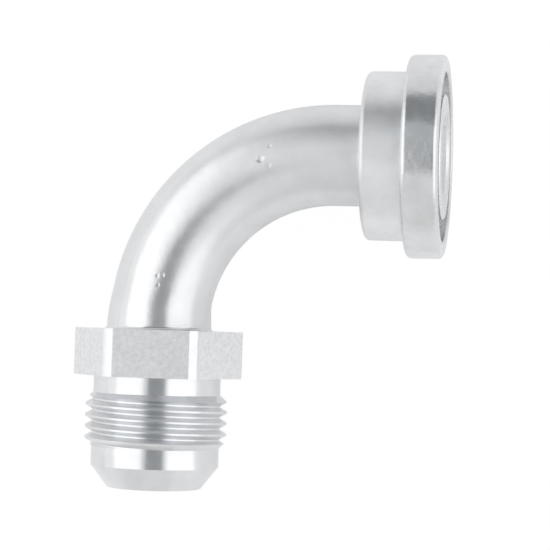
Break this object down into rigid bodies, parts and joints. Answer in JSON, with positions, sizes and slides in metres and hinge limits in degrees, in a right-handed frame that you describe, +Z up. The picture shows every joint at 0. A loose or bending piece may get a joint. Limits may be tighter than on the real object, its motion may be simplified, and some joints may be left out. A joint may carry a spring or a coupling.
{
  "type": "flange adapter",
  "caption": "Bent steel elbow adapter from a round flange head with a seal groove in its face to a hexagon, a male thread and a conical flare nose.",
  "frame": {"origin": "centre of the flange sealing face", "axes": "+X out of the flange face, -Y out of the flare nose, +Z up, square to the plane of the bend; the part lies on its side"},
  "size_m": [0.0697, 0.083, 0.0381],
  "materials": {
    "zinc_plated_steel": "bright zinc plate over turned steel"
  },
  "bodies": {
    "root": {"elbow_body": "zinc_plated_steel"}
  },
  "joints": []
}
